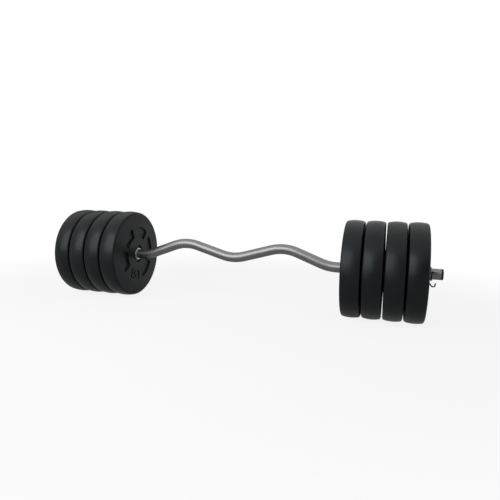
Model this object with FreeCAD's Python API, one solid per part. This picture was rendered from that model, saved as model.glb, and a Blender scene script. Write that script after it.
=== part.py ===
import FreeCAD, Part
import math
import os

# A bent curl bar with four cement-filled weight plates and a spring collar on each side.
# Millimetres. X runs along the sleeves, Z is up, and the origin is the middle of the sleeve axis.

# Bar: the corners of its bends are given before rounding
bar_diameter = 30.0
valley_to_peak = 161.0
peak_to_shoulder = 132.0
peak_height = 50.0
valley_height = 4.0
bend_radius = 125.0
straight_run = 17.6
sleeve_beyond_stack = 36.5
bar_end_edge = 0.8

# Stop ring and its grub screw
ring_wall = 4.0
ring_proud = 3.5
ring_edge = 0.8
screw_diameter = 4.0
screw_inset = 0.3
screw_tip_gap = 0.05
socket_across_flats = 2.0
socket_depth = 2.0

# End plug of the bar
plug_head_length = 4.5
plug_head_edge = 1.4
plug_stem_diameter = 12.0
plug_stem_length = 20.0
plug_stem_edge = 1.0
plug_hole_spare = 1.0

# Weight plate
plates_per_side = 4
plate_diameter = 277.0
hub_thickness = 55.5
rim_thickness = 51.5
rim_crown = 3.5
rim_corner = 6.0
hub_diameter = 104.0
counterbore_margin = 10.0
counterbore_depth = 4.0
counterbore_edge = 1.0
shell_wall = 3.0
cement_gap = 0.2

# Relief on the plate's faces: windows between spokes, one of them a shallow number pad
spoke_count = 6
spoke_angle = 12.0
pad_bearing = -106.0
pad_depth = 3.0
window_ledge = 3.0
window_width = 33.7
window_depth = 6.0
window_corner = 5.0
window_edge = 0.8

# Bore sleeve and fill plug of a plate
sleeve_wall = 4.0
sleeve_edge = 0.6
sleeve_clearance = 0.5
turning_clearance = 0.06
fill_plug_diameter = 18.0
fill_plug_lip = 3.0
fill_plug_head = 1.6
fill_plug_edge = 0.7

# Spring collar: one wire, its ends bent out as two hooked levers
wire_diameter = 4.0
coil_clearance = 0.3
coil_seat_gap = 0.3
coil_gap = 0.7
coil_full_turns = 2
inner_lever_bearing = 250.0
outer_lever_bearing = 182.0
lever_bend_radius = 6.0
hook_radius = 5.5
hook_out = 10.2
hook_along = 4.8
hook_tip = 3.0

# Radial clearance of pieces that are pushed or pressed together
push_fit = 0.05

bar_radius = bar_diameter / 2
ring_outer = bar_radius + ring_wall
plug_stem_radius = plug_stem_diameter / 2
plate_radius = plate_diameter / 2
rim_edge_radius = plate_radius - rim_crown
rim_half = rim_thickness / 2
hub_half = hub_thickness / 2
hub_radius = hub_diameter / 2
sleeve_inner = bar_radius + sleeve_clearance
sleeve_outer = sleeve_inner + sleeve_wall
sleeve_half = hub_half - counterbore_depth
hub_bore = sleeve_outer + turning_clearance
counterbore_radius = ring_outer + counterbore_margin
spoke_step = 360.0 / spoke_count
window_inner = hub_radius + window_ledge
window_outer = window_inner + window_width
window_floor = hub_half - window_depth
fill_plug_radius = fill_plug_diameter / 2
fill_plug_bearing = pad_bearing + 3 * spoke_step

shoulder_x = valley_to_peak + peak_to_shoulder
shoulder_turn = math.atan2(peak_height, peak_to_shoulder)
ring_start = shoulder_x + bend_radius * math.tan(shoulder_turn / 2) + straight_run
stack_start = ring_start + ring_proud
ring_end = stack_start + counterbore_depth
stack_end = stack_start + plates_per_side * hub_thickness
bar_end = stack_end + sleeve_beyond_stack
plug_end = bar_end + plug_head_length
screw_x = (ring_start + ring_end) / 2

wire_radius = wire_diameter / 2
coil_radius = bar_radius + coil_clearance + wire_radius
coil_pitch = wire_diameter + coil_gap
coil_start = stack_end + coil_seat_gap + wire_radius
coil_turn = inner_lever_bearing - outer_lever_bearing + 360 * coil_full_turns
coil_end = coil_start + coil_pitch * coil_turn / 360

axis_x = FreeCAD.Vector(1, 0, 0)
axis_z = FreeCAD.Vector(0, 0, 1)
middle = FreeCAD.Vector(0, 0, 0)
near_zero = 1e-4


def vec(x, y, z):
    return FreeCAD.Vector(x, y, z)


def unit(v):
    return v * (1.0 / v.Length)


def at_bearing(radius, degrees, x):
    """A point beside the X axis: bearings run from +Y towards +Z."""
    angle = math.radians(degrees)
    return vec(x, radius * math.cos(angle), radius * math.sin(angle))


def rod(radius, start, end):
    return Part.makeCylinder(radius, end - start, vec(start, 0, 0), axis_x)


def round_edges(shape, radius, places):
    """Circular edges about the X axis, of this radius, at any of these places along it."""
    found = []
    for edge in shape.Edges:
        if not isinstance(edge.Curve, Part.Circle):
            continue
        centre = edge.Curve.Center
        centred = math.hypot(centre.y, centre.z) < near_zero
        placed = any(abs(centre.x - place) < near_zero for place in places)
        if centred and placed and abs(edge.Curve.Radius - radius) < near_zero:
            found.append(edge)
    return found


def fillet_rounds(shape, size, radius, places):
    return shape.makeFillet(size, round_edges(shape, radius, places))


def chamfer_rounds(shape, size, radius, places):
    return shape.makeChamfer(size, round_edges(shape, radius, places))


def turned_over(shape):
    """The same piece for the other side: half a turn about Z."""
    copy = shape.copy()
    copy.rotate(middle, axis_z, 180)
    return copy


class WirePath:
    """A centre line bent like wire, of straight runs and tangent arcs that follow each other."""

    def __init__(self, start, direction):
        self.point = start
        self.direction = unit(direction)
        self.edges = []

    def run(self, length):
        end = self.point + self.direction * length
        self.edges.append(Part.LineSegment(self.point, end).toShape())
        self.point = end

    def bend(self, towards, degrees, radius):
        """Turn towards a direction, in equal arcs of at most a quarter turn."""
        side = unit(towards - self.direction * towards.dot(self.direction))
        count = math.ceil(degrees / 90.0)
        step = math.radians(degrees / count)
        for _ in range(count):
            ahead = self.direction
            points = []
            for angle in (step / 2, step):
                sideways = side * (radius * (1 - math.cos(angle)))
                points.append(self.point + ahead * (radius * math.sin(angle)) + sideways)
            self.edges.append(Part.Arc(self.point, points[0], points[1]).toShape())
            self.direction = ahead * math.cos(step) + side * math.sin(step)
            side = side * math.cos(step) - ahead * math.sin(step)
            self.point = points[1]

    def meet(self, end, end_direction):
        """A biarc: two tangent arcs to a point, with a given direction there."""
        chord = end - self.point
        along = chord.dot(self.direction + end_direction)
        spread = 2 * (1 - self.direction.dot(end_direction))
        reach = (math.sqrt(along * along + spread * chord.dot(chord)) - along) / spread
        joint = (self.point + end + (self.direction - end_direction) * reach) * 0.5
        self.arc_to(joint)
        self.arc_to(end)

    def arc_to(self, end):
        line = unit(end - self.point)
        lean = self.direction.dot(line)
        side = unit(self.direction - line * lean)
        rise = (end - self.point).Length / 2 * math.tan(math.acos(lean) / 2)
        self.edges.append(Part.Arc(self.point, (self.point + end) * 0.5 + side * rise, end).toShape())
        self.direction = unit(line * (2 * lean) - self.direction)
        self.point = end

    def tube(self, radius):
        first = self.edges[0]
        start = first.valueAt(first.FirstParameter)
        heading = first.tangentAt(first.FirstParameter)
        section = Part.Wire(Part.makeCircle(radius, start, heading))
        return Part.Wire(self.edges).makePipeShell([section], True, False)


def bar_shaft():
    corners = [vec(bar_end, 0, 0), vec(shoulder_x, 0, 0), vec(valley_to_peak, 0, peak_height)]
    mirrored = [vec(-corner.x, 0, corner.z) for corner in reversed(corners)]
    corners = corners + [vec(0, 0, valley_height)] + mirrored
    path = WirePath(corners[0], corners[1] - corners[0])
    for corner, after in zip(corners[1:], corners[2:]):
        ahead = unit(after - corner)
        turn = path.direction.getAngle(ahead)
        path.run((corner - path.point).Length - bend_radius * math.tan(turn / 2))
        path.bend(ahead, math.degrees(turn), bend_radius)
    path.run((corners[-1] - path.point).Length)
    shaft = chamfer_rounds(path.tube(bar_radius), bar_end_edge, bar_radius, [-bar_end, bar_end])
    hole_floor = bar_end - plug_stem_length - plug_hole_spare
    hole = rod(plug_stem_radius + push_fit, hole_floor, bar_end)
    return shaft.cut(hole).cut(turned_over(hole))


def stop_ring():
    ring = rod(ring_outer, ring_start, ring_end).cut(rod(bar_radius + push_fit, ring_start, ring_end))
    ring = fillet_rounds(ring, ring_edge, ring_outer, [ring_start, ring_end])
    hole_radius = screw_diameter / 2 + push_fit
    return ring.cut(Part.makeCylinder(hole_radius, ring_outer, vec(screw_x, 0, 0), -axis_z))


def grub_screw():
    tip = -bar_radius - screw_tip_gap
    top = screw_inset - ring_outer
    screw = Part.makeCylinder(screw_diameter / 2, tip - top, vec(screw_x, 0, tip), -axis_z)
    corner = socket_across_flats / math.sqrt(3)
    points = []
    for k in range(7):
        angle = math.radians(60 * k)
        points.append(vec(screw_x + corner * math.cos(angle), corner * math.sin(angle), top))
    return screw.cut(Part.Face(Part.makePolygon(points)).extrude(axis_z * socket_depth))


def end_plug():
    head = fillet_rounds(rod(bar_radius, bar_end, plug_end), plug_head_edge, bar_radius, [plug_end])
    stem_tip = bar_end - plug_stem_length
    stem = rod(plug_stem_radius, stem_tip, bar_end)
    stem = chamfer_rounds(stem, plug_stem_edge, plug_stem_radius, [stem_tip])
    return head.fuse(stem).removeSplitter()


def plate_blank():
    """A plate before its relief: crowned rim, flat bored hub, and faces that slope between them."""
    half = [
        vec(-sleeve_half, 0, hub_bore),
        vec(-sleeve_half, 0, counterbore_radius),
        vec(-hub_half, 0, counterbore_radius),
        vec(-hub_half, 0, hub_radius),
        vec(-rim_half, 0, rim_edge_radius),
    ]
    mirrored = [vec(-point.x, 0, point.z) for point in reversed(half)]
    edges = [Part.LineSegment(a, b).toShape() for a, b in zip(half, half[1:])]
    edges.append(Part.Arc(half[-1], vec(0, 0, plate_radius), mirrored[0]).toShape())
    edges += [Part.LineSegment(a, b).toShape() for a, b in zip(mirrored, mirrored[1:])]
    edges.append(Part.LineSegment(mirrored[-1], half[0]).toShape())
    blank = Part.Face(Part.Wire(edges)).revolve(middle, axis_x, 360)
    blank = fillet_rounds(blank, rim_corner, rim_edge_radius, [-rim_half, rim_half])
    return fillet_rounds(blank, counterbore_edge, counterbore_radius, [-hub_half, hub_half])


def window(start, end, depth):
    """The hollow of one window on a face that looks along +X: a ring sector with rounded corners."""
    floor_x = hub_half - depth
    between = (start + end) / 2
    inner = [at_bearing(window_inner, bearing, floor_x) for bearing in (start, between, end)]
    outer = [at_bearing(window_outer, bearing, floor_x) for bearing in (end, between, start)]
    edges = [
        Part.Arc(*inner).toShape(),
        Part.LineSegment(inner[2], outer[0]).toShape(),
        Part.Arc(*outer).toShape(),
        Part.LineSegment(outer[2], inner[0]).toShape(),
    ]
    sector = Part.Face(Part.Wire(edges)).extrude(axis_x * (2 * depth))
    upright = [edge for edge in sector.Edges if edge.BoundBox.XLength > depth]
    sector = sector.makeFillet(window_corner, upright)
    floor = [edge for edge in sector.Edges if edge.BoundBox.XMax < floor_x + near_zero]
    return sector.makeFillet(window_edge, floor)


def face_windows():
    hollows = []
    reach = (spoke_step - spoke_angle) / 2
    for k in range(spoke_count):
        centre = pad_bearing + k * spoke_step
        depth = pad_depth if k == 0 else window_depth
        hollows.append(window(centre - reach, centre + reach, depth))
    return hollows + [turned_over(hollow) for hollow in hollows]


def face_half(radius):
    """Half the plate's thickness on the slope between its hub and its rim."""
    share = (radius - hub_radius) / (rim_edge_radius - hub_radius)
    return hub_half + (rim_half - hub_half) * share


def window_mouths(shape):
    """The edges where the windows meet the sloping faces."""
    found = []
    for edge in shape.Edges:
        reach = [math.hypot(v.Y, v.Z) for v in edge.Vertexes]
        inside = min(reach) > window_inner - near_zero and max(reach) < window_outer + near_zero
        if inside and all(abs(abs(v.X) - face_half(r)) < near_zero for v, r in zip(edge.Vertexes, reach)):
            found.append(edge)
    return found


def plate_filling(gap):
    """The space inside a shell or, with a gap, the cement that has shrunk away from it."""
    inner = hub_bore + shell_wall + gap
    step = window_outer + shell_wall + gap
    outer = rim_edge_radius - shell_wall - gap
    thin = window_floor - shell_wall - gap
    thick = rim_half - shell_wall - gap
    half = [(inner, thin), (step, thin), (step, thick), (outer, thick)]
    points = [vec(-x, 0, r) for r, x in half] + [vec(x, 0, r) for r, x in reversed(half)]
    filling = Part.Face(Part.makePolygon(points + points[:1])).revolve(middle, axis_x, 360)
    return fillet_rounds(filling, rim_corner, outer, [-thick, thick])


def fill_plug():
    centre = at_bearing((window_inner + window_outer) / 2, fill_plug_bearing, window_floor)
    head = Part.makeCylinder(fill_plug_radius + fill_plug_lip, fill_plug_head, centre, axis_x)
    top = [edge for edge in head.Edges if edge.BoundBox.XMin > window_floor + fill_plug_head - near_zero]
    head = head.makeFillet(fill_plug_edge, top)
    stem = Part.makeCylinder(fill_plug_radius, shell_wall, centre, -axis_x)
    return head.fuse(stem).removeSplitter()


def fill_hole():
    centre = at_bearing((window_inner + window_outer) / 2, fill_plug_bearing, window_floor)
    return Part.makeCylinder(fill_plug_radius + push_fit, 2 * shell_wall, centre, -axis_x)


def plate_shell():
    shell = plate_blank().cut(face_windows())
    shell = shell.makeFillet(window_edge, window_mouths(shell))
    return shell.cut(plate_filling(0)).cut(fill_hole())


def bore_sleeve():
    sleeve = rod(sleeve_outer, -sleeve_half, sleeve_half).cut(rod(sleeve_inner, -sleeve_half, sleeve_half))
    return chamfer_rounds(sleeve, sleeve_edge, sleeve_inner, [-sleeve_half, sleeve_half])


def coil_heading(bearing, slope):
    """The way the wire runs as its bearing falls, rising along X by this slope."""
    return unit(at_bearing(1, bearing - 90, slope))


def coil_path():
    """The coil from its inner end to its outer end, each end straight for one wire diameter."""
    start = at_bearing(coil_radius, inner_lever_bearing, coil_start)
    heading = coil_heading(inner_lever_bearing, 0)
    path = WirePath(start - heading * wire_diameter, heading)
    path.run(wire_diameter)
    quarters = math.ceil(coil_turn / 90)
    rise = coil_pitch / (2 * math.pi * coil_radius)
    for k in range(1, quarters + 1):
        bearing = inner_lever_bearing - coil_turn * k / quarters
        x = coil_start + (coil_end - coil_start) * k / quarters
        slope = rise if k < quarters else 0
        path.meet(at_bearing(coil_radius, bearing, x), coil_heading(bearing, slope))
    path.run(wire_diameter)
    return path


def least_coil_gap(path):
    """The smallest space between one turn and the next, measured on points along the centre line."""
    points = []
    for edge in path.edges:
        points += edge.discretize(12)[:-1]
    per_turn = len(points) * 360 / coil_turn
    apart = int(per_turn / 2)
    least = min((a - b).Length for k, a in enumerate(points) for b in points[k + apart:])
    return least - wire_diameter


def lever(start, heading, bearing):
    """From the coil's end: a bend outwards, a leg, and a hook that curls back towards the bar."""
    outwards = at_bearing(1, bearing, 0)
    along = coil_end + hook_along - start.x
    distance = math.hypot(along, hook_out)
    tilt = math.atan2(along, hook_out) - math.asin(hook_radius / distance)
    leg_direction = outwards * math.cos(tilt) + axis_x * math.sin(tilt)
    leg = math.sqrt(distance**2 - hook_radius**2) - lever_bend_radius
    path = WirePath(start, heading)
    path.bend(leg_direction, 90, lever_bend_radius)
    path.run(leg)
    path.bend(axis_x, 180 - math.degrees(tilt), hook_radius)
    path.run(hook_tip)
    return path.tube(wire_radius).fuse(Part.makeSphere(wire_radius, path.point)).removeSplitter()


def save(name, shape):
    if len(shape.Solids) != 1 or not shape.isValid():
        raise ValueError(name + " is not one valid solid")
    shape.Solids[0].exportStep("parts/" + name + ".step")
    print("%-30s %10.0f mm3" % (name, shape.Volume))


def save_both(name, shape, suffix=""):
    """A piece that each side has: as drawn on the right, turned over on the left."""
    save(name + "_right" + suffix, shape)
    save(name + "_left" + suffix, turned_over(shape))


os.makedirs("parts", exist_ok=True)

save("bar_shaft", bar_shaft())
save_both("stop_ring", stop_ring())
save_both("stop_ring_screw", grub_screw())
save_both("end_plug", end_plug())

plate_pieces = {
    "shell": plate_shell(),
    "cement": plate_filling(cement_gap),
    "bore_sleeve": bore_sleeve(),
    "fill_plug": fill_plug(),
}
for number in range(1, plates_per_side + 1):
    centre = axis_x * (stack_start + (number - 0.5) * hub_thickness)
    for piece, shape in plate_pieces.items():
        placed = shape.copy()
        placed.translate(centre)
        save_both("plate", placed, "_%d_%s" % (number, piece))

coil = coil_path()
inner_face = coil.edges[0].valueAt(coil.edges[0].FirstParameter)
inner_heading = -coil_heading(inner_lever_bearing, 0)
save_both("collar", coil.tube(wire_radius), "_coil")
save_both("collar", lever(inner_face, inner_heading, inner_lever_bearing), "_inner_lever")
save_both("collar", lever(coil.point, coil.direction, outer_lever_bearing), "_outer_lever")
print("least gap between the coil's turns: %.2f mm" % least_coil_gap(coil))
print("first hub face %.2f, last hub face %.2f, bar end %.2f" % (stack_start, stack_end, plug_end))
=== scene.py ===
import math

import bmesh
import bpy
from mathutils import Matrix, Vector


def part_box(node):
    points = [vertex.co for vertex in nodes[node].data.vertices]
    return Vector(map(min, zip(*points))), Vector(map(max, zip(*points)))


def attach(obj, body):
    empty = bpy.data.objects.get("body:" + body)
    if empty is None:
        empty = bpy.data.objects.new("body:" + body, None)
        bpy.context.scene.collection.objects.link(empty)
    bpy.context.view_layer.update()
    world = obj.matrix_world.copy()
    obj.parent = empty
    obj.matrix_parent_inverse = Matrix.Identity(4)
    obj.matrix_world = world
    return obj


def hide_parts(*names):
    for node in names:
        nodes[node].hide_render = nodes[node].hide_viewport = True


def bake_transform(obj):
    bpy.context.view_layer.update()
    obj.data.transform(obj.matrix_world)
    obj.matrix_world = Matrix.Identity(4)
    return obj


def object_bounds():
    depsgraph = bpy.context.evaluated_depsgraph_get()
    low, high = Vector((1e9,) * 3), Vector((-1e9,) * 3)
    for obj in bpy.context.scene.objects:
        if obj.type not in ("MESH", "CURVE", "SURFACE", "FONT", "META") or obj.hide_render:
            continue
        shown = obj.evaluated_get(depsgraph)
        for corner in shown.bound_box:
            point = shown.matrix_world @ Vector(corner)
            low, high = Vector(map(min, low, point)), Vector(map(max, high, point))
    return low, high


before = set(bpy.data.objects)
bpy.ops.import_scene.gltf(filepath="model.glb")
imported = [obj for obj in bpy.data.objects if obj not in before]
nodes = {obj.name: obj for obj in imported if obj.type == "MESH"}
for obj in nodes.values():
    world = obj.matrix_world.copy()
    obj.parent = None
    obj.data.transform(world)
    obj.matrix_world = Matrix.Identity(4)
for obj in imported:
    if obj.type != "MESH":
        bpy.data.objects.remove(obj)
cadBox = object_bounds()
sideTurns = {"right": 0.0, "left": math.pi}        # each piece of the left side is turned about Z
plateNumbers = (1, 2, 3, 4)        # counted from the middle of the bar outwards
print("frame: %d nodes" % len(nodes))


# Node helpers
patchSpan = (0.3, 0.7)        # noise values between which one patch fades into the next
mixSockets = {"first": 6, "second": 7, "result": 2}        # where a Mix node holds its colours


def addNode(tree, kind, sockets=None, **settings):
    node = tree.nodes.new(kind)
    for name, value in settings.items():
        setattr(node, name, value)
    for name, value in (sockets or {}).items():
        if isinstance(value, bpy.types.NodeSocket):
            tree.links.new(value, node.inputs[name])
        else:
            node.inputs[name].default_value = value
    return node


def calc(tree, operation, *values):
    return addNode(tree, "ShaderNodeMath", dict(enumerate(values)), operation=operation).outputs[0]


def ramp(tree, value, low, high, toLow=0.0, toHigh=1.0):
    sockets = {"Value": value, "From Min": low, "From Max": high, "To Min": toLow, "To Max": toHigh}
    return addNode(tree, "ShaderNodeMapRange", sockets, interpolation_type="SMOOTHSTEP").outputs["Result"]


def noise(tree, place, scale, detail=3.0):
    sockets = {"Vector": place, "Scale": scale, "Detail": detail}
    return addNode(tree, "ShaderNodeTexNoise", sockets).outputs[0]


def scaleFor(tree, size):
    return calc(tree, "DIVIDE", 1.0, size)


def objectPlace(tree):
    return tree.nodes.new("ShaderNodeTexCoord").outputs["Object"]


def startGroup(name, inputs, outputs):
    group = bpy.data.node_groups.new(name, "ShaderNodeTree")
    for label, value in inputs.items():
        socket = group.interface.new_socket(label, in_out="INPUT", socket_type="NodeSocketFloat")
        socket.default_value = value
    for label in outputs:
        group.interface.new_socket(label, in_out="OUTPUT", socket_type="NodeSocketFloat")
    given = group.nodes.new("NodeGroupInput").outputs
    result = group.nodes.new("NodeGroupOutput").inputs
    return group, given, result


# Pebbled skin of a moulded plastic, and the slow drift of its sheen
def makeMouldGrain():
    group, given, result = startGroup(
        "mouldGrain", {"Grain Size": 0.001, "Patch Size": 0.04}, ["Height", "Patches"])
    place = objectPlace(group)
    grainScale = scaleFor(group, given["Grain Size"])
    pebbles = addNode(group, "ShaderNodeTexVoronoi", {"Vector": place, "Scale": grainScale},
                      feature="SMOOTH_F1")
    height = calc(group, "ADD", pebbles.outputs["Distance"], noise(group, place, grainScale))
    patches = ramp(group, noise(group, place, scaleFor(group, given["Patch Size"])), *patchSpan)
    group.links.new(height, result["Height"])
    group.links.new(patches, result["Patches"])
    return group


# Rub along the edges, broken up so that it comes and goes
rubShape = {
    "samples": 4,
    "bend": (0.004, 0.08),        # lean of the rounded normal where the rub starts, and where it is full
    "breakDetail": 4.0,
    "broken": (0.42, 0.62),        # noise values between which the rub comes in
}


def makeEdgeRub():
    group, given, result = startGroup("edgeRub", {"Edge Width": 0.002, "Break Size": 0.012}, ["Mask"])
    rounded = addNode(group, "ShaderNodeBevel", {"Radius": given["Edge Width"]},
                      samples=rubShape["samples"])
    surface = group.nodes.new("ShaderNodeNewGeometry")
    facing = addNode(group, "ShaderNodeVectorMath", operation="DOT_PRODUCT",
                     sockets={0: rounded.outputs[0], 1: surface.outputs["Normal"]})
    edge = ramp(group, calc(group, "SUBTRACT", 1.0, facing.outputs["Value"]), *rubShape["bend"])
    breakScale = scaleFor(group, given["Break Size"])
    breaks = noise(group, objectPlace(group), breakScale, rubShape["breakDetail"])
    broken = ramp(group, breaks, *rubShape["broken"])
    group.links.new(calc(group, "MULTIPLY", edge, broken), result["Mask"])
    return group


# Fine lines round the bar's axis, left by grinding and polishing
def makePolishLines():
    group, given, result = startGroup(
        "polishLines", {"Line Width": 0.0004, "Line Length": 0.02, "Patch Size": 0.02}, ["Height", "Patches"])
    place = addNode(group, "ShaderNodeSeparateXYZ", {0: objectPlace(group)})
    stretched = {"X": calc(group, "DIVIDE", place.outputs["X"], given["Line Width"])}
    for axis in "YZ":
        stretched[axis] = calc(group, "DIVIDE", place.outputs[axis], given["Line Length"])
    lines = addNode(group, "ShaderNodeCombineXYZ", stretched)
    patchScale = scaleFor(group, given["Patch Size"])
    patches = ramp(group, noise(group, objectPlace(group), patchScale), *patchSpan)
    group.links.new(noise(group, lines.outputs[0], 1.0), result["Height"])
    group.links.new(patches, result["Patches"])
    return group


mouldGrain = makeMouldGrain()
edgeRub = makeEdgeRub()
polishLines = makePolishLines()
print("shared effects made")


# Material helpers
def startMaterial(name, fixed):
    material = bpy.data.materials.new(name)
    material.use_nodes = True
    tree = material.node_tree
    shader = tree.nodes["Principled BSDF"]
    for socket, value in fixed.items():
        shader.inputs[socket].default_value = value
    return material, tree, shader


def useGroup(tree, group, values):
    return addNode(tree, "ShaderNodeGroup", values, node_tree=group).outputs


def mixColors(tree, factor, first, second):
    sockets = {"Factor": factor}
    for name, color in {"first": first, "second": second}.items():
        linked = isinstance(color, bpy.types.NodeSocket)
        sockets[mixSockets[name]] = color if linked else (*color, 1.0)
    return addNode(tree, "ShaderNodeMix", sockets, data_type="RGBA").outputs[mixSockets["result"]]


def addBump(tree, shader, height, depth):
    bump = addNode(tree, "ShaderNodeBump", {"Height": height, "Distance": depth, "Strength": 1.0})
    tree.links.new(bump.outputs[0], shader.inputs["Normal"])


# Moulded plastics
vinylLook = {
    "fixed": {"Specular IOR Level": 0.27, "Specular Tint": (0.84, 0.95, 1.0, 1.0)},
    "colors": ((0.0045, 0.0045, 0.0046), (0.0058, 0.0058, 0.0059)),
    "rubbed": (0.022, 0.022, 0.022),
    "roughness": (0.31, 0.39),
    "grain": {"Grain Size": 0.0012, "Patch Size": 0.05},
    "grainDepth": 0.00003,
    "rub": {"Edge Width": 0.0025, "Break Size": 0.02},
}
plugLook = {
    "fixed": {"Specular IOR Level": 0.2},
    "colors": ((0.0060, 0.0060, 0.0062), (0.0080, 0.0080, 0.0082)),
    "rubbed": (0.025, 0.025, 0.026),
    "roughness": (0.40, 0.52),
    "grain": {"Grain Size": 0.0008, "Patch Size": 0.01},
    "grainDepth": 0.00002,
    "rub": {"Edge Width": 0.0008, "Break Size": 0.005},
}
sleeveLook = {
    "fixed": {"Specular IOR Level": 0.3},
    "colors": ((0.0090, 0.0090, 0.0095), (0.0120, 0.0120, 0.0125)),
    "rubbed": (0.030, 0.030, 0.031),
    "roughness": (0.34, 0.44),
    "grain": {"Grain Size": 0.0006, "Patch Size": 0.012},
    "grainDepth": 0.00001,
    "rub": {"Edge Width": 0.0006, "Break Size": 0.006},
}

# Metals
barLook = {
    "fixed": {"Metallic": 1.0},
    "colors": ((0.218, 0.218, 0.219), (0.242, 0.242, 0.243)),
    "rubbed": (0.34, 0.34, 0.342),
    "roughness": (0.33, 0.39),
    "grain": {"Line Width": 0.0003, "Line Length": 0.012, "Patch Size": 0.03},
    "grainDepth": 0.0000001,
    "rub": {"Edge Width": 0.0008, "Break Size": 0.006},
}
ringLook = {
    "fixed": {"Metallic": 1.0},
    "colors": ((0.58, 0.58, 0.59), (0.66, 0.66, 0.67)),
    "rubbed": (0.75, 0.75, 0.75),
    "roughness": (0.16, 0.22),
    "grain": {"Line Width": 0.0002, "Line Length": 0.012, "Patch Size": 0.01},
    "grainDepth": 0.0000002,
    "rub": {"Edge Width": 0.0008, "Break Size": 0.004},
}
wireLook = {
    "fixed": {"Metallic": 1.0},
    "colors": ((0.15, 0.15, 0.155), (0.18, 0.18, 0.185)),
    "rubbed": (0.18, 0.18, 0.185),
    "roughness": (0.26, 0.36),
    "grain": {"Line Width": 0.0006, "Line Length": 0.006, "Patch Size": 0.006},
    "grainDepth": 0.0000004,
    "rub": {"Edge Width": 0.0005, "Break Size": 0.004},
}
screwLook = {
    "fixed": {"Metallic": 1.0},
    "colors": ((0.030, 0.030, 0.032), (0.045, 0.045, 0.047)),
    "rubbed": (0.25, 0.25, 0.25),
    "roughness": (0.30, 0.42),
    "grain": {"Line Width": 0.0003, "Line Length": 0.002, "Patch Size": 0.002},
    "grainDepth": 0.000004,
    "rub": {"Edge Width": 0.0003, "Break Size": 0.001},
}

# Cement filling, seen only when a shell is hidden
cementLook = {
    "fixed": {"Specular IOR Level": 0.2},
    "colors": ((0.24, 0.235, 0.22), (0.36, 0.35, 0.33)),
    "roughness": (0.80, 0.95),
    "grain": {"Grain Size": 0.004, "Patch Size": 0.03},
    "grainDepth": 0.0004,
}


def makeFinish(name, effect, look):
    material, tree, shader = startMaterial(name, look["fixed"])
    grain = useGroup(tree, effect, look["grain"])
    color = mixColors(tree, grain["Patches"], *look["colors"])
    if "rub" in look:
        rub = useGroup(tree, edgeRub, look["rub"])
        color = mixColors(tree, rub["Mask"], color, look["rubbed"])
    tree.links.new(color, shader.inputs["Base Color"])
    tree.links.new(ramp(tree, grain["Patches"], 0.0, 1.0, *look["roughness"]), shader.inputs["Roughness"])
    addBump(tree, shader, grain["Height"], look["grainDepth"])
    return material


blackVinyl = makeFinish("blackVinyl", mouldGrain, vinylLook)
plugPlastic = makeFinish("plugPlastic", mouldGrain, plugLook)
sleevePlastic = makeFinish("sleevePlastic", mouldGrain, sleeveLook)
satinSteel = makeFinish("satinSteel", polishLines, barLook)
ringChrome = makeFinish("ringChrome", polishLines, ringLook)
springWire = makeFinish("springWire", polishLines, wireLook)
screwSteel = makeFinish("screwSteel", polishLines, screwLook)
cement = makeFinish("cement", mouldGrain, cementLook)
print("materials made")


# The CAD pieces that stay, each with its finish
def finishFor(name):
    finishes = {
        "stop_ring_screw": screwSteel,
        "stop_ring": ringChrome,
        "end_plug": plugPlastic,
        "bar_shaft": satinSteel,
        "collar": springWire,
    }
    endings = {"_cement": cement, "_bore_sleeve": sleevePlastic, "_fill_plug": plugPlastic}
    for ending, material in endings.items():
        if name.endswith(ending):
            return material
    for start, material in finishes.items():
        if name.startswith(start):
            return material
    return blackVinyl


def dressCadPieces():
    for name, piece in nodes.items():
        piece.data.materials.clear()
        piece.data.materials.append(finishFor(name))


dressCadPieces()
print("CAD pieces dressed")


def addPiece(name, mesh, material):
    piece = bpy.data.objects.new(name, mesh)
    bpy.context.scene.collection.objects.link(piece)
    mesh.materials.clear()
    mesh.materials.append(material)
    return piece


def meshFromCurve(curve):
    stand = bpy.data.objects.new(curve.name, curve)
    bpy.context.scene.collection.objects.link(stand)
    mesh = bpy.data.meshes.new_from_object(stand.evaluated_get(bpy.context.evaluated_depsgraph_get()))
    bpy.data.objects.remove(stand)
    bpy.data.curves.remove(curve)
    return mesh


# Coils of the spring collars
coilShape = {
    "wire": 0.004,
    "radius": 0.0173,        # from the bar's axis to the middle of the wire
    "startBearing": 250.0,        # degrees, from +Y towards +Z
    "turn": 788.0,        # degrees, from the inner lever to the outer one
    "stepsPerTurn": 96,
    "wireSides": 24,
}


def bearingPoint(radius, degrees, x):
    angle = math.radians(degrees)
    return Vector((x, radius * math.cos(angle), radius * math.sin(angle)))


def coilPoints(startX, endX):
    count = round(coilShape["stepsPerTurn"] * coilShape["turn"] / 360)
    points = []
    for k in range(count + 1):
        bearing = coilShape["startBearing"] - coilShape["turn"] * k / count
        points.append(bearingPoint(coilShape["radius"], bearing, startX + (endX - startX) * k / count))
    # straight ends that meet the levers
    lead = (points[0] - points[1]).normalized() * coilShape["wire"]
    tail = (points[-1] - points[-2]).normalized() * coilShape["wire"]
    return [points[0] + lead] + points + [points[-1] + tail]


def wireMesh(name, points, diameter, sides):
    curve = bpy.data.curves.new(name, "CURVE")
    curve.dimensions = "3D"
    spline = curve.splines.new("POLY")
    spline.points.add(len(points) - 1)
    for place, point in zip(spline.points, points):
        place.co = (*point, 1.0)
    curve.bevel_depth = diameter / 2
    curve.bevel_resolution = sides // 2 - 2        # a full bevel has 2 * resolution + 4 sides
    curve.use_fill_caps = True
    return meshFromCurve(curve)


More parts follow.
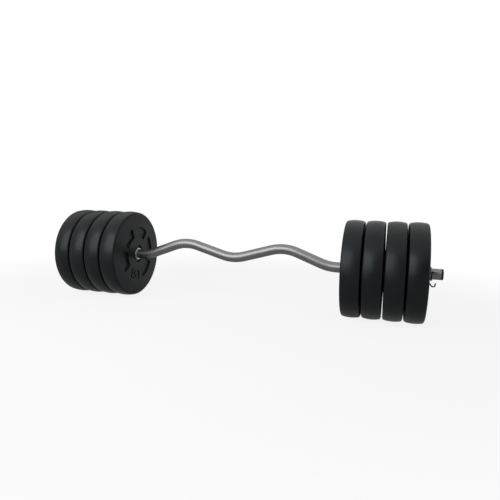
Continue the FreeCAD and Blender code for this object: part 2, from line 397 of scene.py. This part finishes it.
def addCoils():
    low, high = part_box("collar_right_coil")
    startX = low.x + coilShape["wire"] / 2
    endX = high.x - coilShape["wire"] / 2
    points = coilPoints(startX, endX)
    for side, turn in sideTurns.items():
        name = "collar_%s_coil" % side
        mesh = wireMesh(name, points, coilShape["wire"], coilShape["wireSides"])
        mesh.transform(Matrix.Rotation(turn, 4, "Z"))
        mesh.shade_smooth()
        piece = addPiece(name + "_wire", mesh, springWire)
        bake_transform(piece)
        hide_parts(name)


addCoils()
print("collar coils added")


# Raised numbers on the plates
numberShape = {
    "text": "15",
    "height": 0.025,
    "padDepth": 0.003,        # from the hub's face down to the floor of the number pad
    "proud": 0.002,
    "sunk": 0.0005,
    "edge": 0.0003,
    "bearing": -106.0,        # middle of the number pad, from +Y towards +Z on a face that looks along +X
    "radius": 0.0712,
    "capShare": 0.70,        # a figure's height as a share of the font's size
    "edgeSteps": 2,
    "curveSteps": 8,
}


def numberMesh():
    font = bpy.data.curves.new("number", "FONT")
    font.body = numberShape["text"]
    font.size = numberShape["height"] / numberShape["capShare"]
    font.align_x = "CENTER"
    font.align_y = "CENTER"
    font.extrude = (numberShape["proud"] + numberShape["sunk"]) / 2 - numberShape["edge"]
    font.bevel_depth = numberShape["edge"]
    font.bevel_resolution = numberShape["edgeSteps"]
    font.resolution_u = numberShape["curveSteps"]
    return meshFromCurve(font)


def numberPlace(padX):
    up = -bearingPoint(1.0, numberShape["bearing"], 0.0)        # the figures stand towards the hub
    outwards = Vector((1.0, 0.0, 0.0))
    across = up.cross(outwards)
    place = Matrix((across, up, outwards)).transposed().to_4x4()
    lift = (numberShape["proud"] - numberShape["sunk"]) / 2
    place.translation = bearingPoint(numberShape["radius"], numberShape["bearing"], padX + lift)
    return place


def addNumbers():
    figures = numberMesh()
    for side in sideTurns:
        for number in plateNumbers:
            low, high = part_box("plate_%s_%d_shell" % (side, number))
            middle = Matrix.Translation(((low.x + high.x) / 2, 0, 0))
            place = numberPlace((high.x - low.x) / 2 - numberShape["padDepth"])
            built = bmesh.new()
            for faceTurn in (0.0, math.pi):
                mesh = figures.copy()
                mesh.transform(middle @ Matrix.Rotation(faceTurn, 4, "Z") @ place)
                built.from_mesh(mesh)
                bpy.data.meshes.remove(mesh)
            joined = bpy.data.meshes.new("plate_%s_%d_numbers" % (side, number))
            built.to_mesh(joined)
            built.free()
            piece = addPiece(joined.name, joined, blackVinyl)
            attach(piece, "%s_plate_%d" % (side, number))
    bpy.data.meshes.remove(figures)


addNumbers()
print("plate numbers added")


# Floor, world and lamps
stageLook = {
    "floorSize": 14.0,
    "floorColor": (0.80, 0.80, 0.80),
    "floorGlow": (0.86, 1.0),        # share of plain white in what is seen of the floor, near and far
    "glowFrom": 0.7,        # metres from the middle of the bar
    "glowTo": 1.6,
    "ambient": 0.35,
    "roomLevels": (0.22, 1.0),        # in reflections: the sides of the room, then its backdrop and ceiling
    "floorLevels": (0.40, 0.62),        # the same for the floor, in front and behind
    "backFloor": (0.0, 0.5),        # metres along Y, where the floor brightens
    "endFloor": (0.75, 1.3),        # the same along X, either way
    "backdrop": (0.75, 0.98),        # where the wall behind starts, in the Y of a direction
    "ceiling": (0.35, 0.85),        # the ceiling, in its Z
    "endWalls": (0.78, 0.97),        # and the walls past the bar's ends, in its X either way
}
lamps = {
    "wideWindow": {"place": (-0.70, -1.75, 0.93), "aim": (-0.1, 0.0, 0.15), "size": (2.1, 1.6),
                   "power": 32.0, "color": (0.98, 0.99, 1.0)},
}


def backgroundSeen(tree):
    path = tree.nodes.new("ShaderNodeLightPath").outputs
    seen = calc(tree, "MAXIMUM", path["Is Camera Ray"], path["Is Glossy Ray"])
    return calc(tree, "MAXIMUM", seen, path["Is Transmission Ray"])


def roomWhite(tree, levels, reaches):
    white = tree.nodes.new("ShaderNodeLightPath").outputs["Is Camera Ray"]
    for name, along in reaches.items():
        mirrored = ramp(tree, along, *stageLook[name], *stageLook[levels])
        white = calc(tree, "MAXIMUM", white, mirrored)
    return white


def makeFloorWhite():
    material = bpy.data.materials.new("floorWhite")
    material.use_nodes = True
    tree = material.node_tree
    tree.nodes.remove(tree.nodes["Principled BSDF"])
    plain = addNode(tree, "ShaderNodeBsdfDiffuse", {"Color": (*stageLook["floorColor"], 1.0)})
    place = objectPlace(tree)
    along = addNode(tree, "ShaderNodeSeparateXYZ", {0: place}).outputs
    sideways = calc(tree, "ABSOLUTE", along["X"])
    seenGlow = roomWhite(tree, "floorLevels", {"backFloor": along["Y"], "endFloor": sideways})
    glow = addNode(tree, "ShaderNodeEmission", {"Strength": seenGlow})
    distance = addNode(tree, "ShaderNodeVectorMath", {0: place}, operation="LENGTH")
    near, far = stageLook["floorGlow"]
    white = ramp(tree, distance.outputs["Value"], stageLook["glowFrom"], stageLook["glowTo"], near, far)
    share = calc(tree, "MULTIPLY", backgroundSeen(tree), white)
    mixed = addNode(tree, "ShaderNodeMixShader", {0: share, 1: plain.outputs[0], 2: glow.outputs[0]})
    tree.links.new(mixed.outputs[0], tree.nodes["Material Output"].inputs["Surface"])
    return material


def addFloor():
    half = stageLook["floorSize"] / 2
    floorZ = cadBox[0].z
    mesh = bpy.data.meshes.new("floor")
    corners = [(-half, -half, floorZ), (half, -half, floorZ), (half, half, floorZ), (-half, half, floorZ)]
    mesh.from_pydata(corners, [], [(0, 1, 2, 3)])
    mesh.materials.append(makeFloorWhite())
    floor = bpy.data.objects.new("floor", mesh)
    bpy.context.scene.collection.objects.link(floor)


def addWorld():
    world = bpy.data.worlds.new("whiteStudio")
    world.use_nodes = True
    tree = world.node_tree
    direction = tree.nodes.new("ShaderNodeTexCoord").outputs["Generated"]
    along = addNode(tree, "ShaderNodeSeparateXYZ", {0: direction}).outputs
    sideways = calc(tree, "ABSOLUTE", along["X"])
    walls = {"backdrop": along["Y"], "ceiling": along["Z"], "endWalls": sideways}
    white = roomWhite(tree, "roomLevels", walls)
    strength = ramp(tree, backgroundSeen(tree), 0.0, 1.0, stageLook["ambient"], white)
    background = tree.nodes["Background"]
    background.inputs["Color"].default_value = (1.0, 1.0, 1.0, 1.0)
    tree.links.new(strength, background.inputs["Strength"])
    bpy.context.scene.world = world


def addLamps():
    for name, lamp in lamps.items():
        data = bpy.data.lights.new(name, "AREA")
        data.shape = "RECTANGLE"
        data.size, data.size_y = lamp["size"]
        data.energy = lamp["power"]
        data.color = lamp["color"]
        softBox = bpy.data.objects.new(name, data)
        softBox.location = lamp["place"]
        softBox.rotation_euler = (Vector(lamp["aim"]) - softBox.location).to_track_quat("-Z", "Y").to_euler()
        softBox.visible_camera = False
        bpy.context.scene.collection.objects.link(softBox)


addFloor()
addWorld()
addLamps()
print("studio added")


# Camera
cameraPose = {
    "place": (0.46202, -1.28992, 0.17331),
    "yaw": -0.307,        # radians from +Y, positive to the right
    "pitch": 0.102,        # radians, below the horizon
    "roll": 0.029,
    "focal": 445.976,        # pixels in a frame 500 pixels wide
    "frameWidth": 500,
    "sensor": 36.0,
    "nearest": 0.01,        # metres, nothing closer is drawn
}


def addCamera():
    data = bpy.data.cameras.new("camera")
    data.sensor_width = cameraPose["sensor"]
    data.lens = cameraPose["sensor"] * cameraPose["focal"] / cameraPose["frameWidth"]
    data.clip_start = cameraPose["nearest"]
    camera = bpy.data.objects.new("camera", data)
    turn = Matrix.Rotation(-cameraPose["yaw"], 4, "Z")
    tilt = Matrix.Rotation(math.pi / 2 - cameraPose["pitch"], 4, "X")
    roll = Matrix.Rotation(cameraPose["roll"], 4, "Z")
    camera.matrix_world = Matrix.Translation(cameraPose["place"]) @ turn @ tilt @ roll
    bpy.context.scene.collection.objects.link(camera)
    bpy.context.scene.camera = camera


addCamera()
bpy.context.scene.view_settings.view_transform = "Standard"
print("camera set")
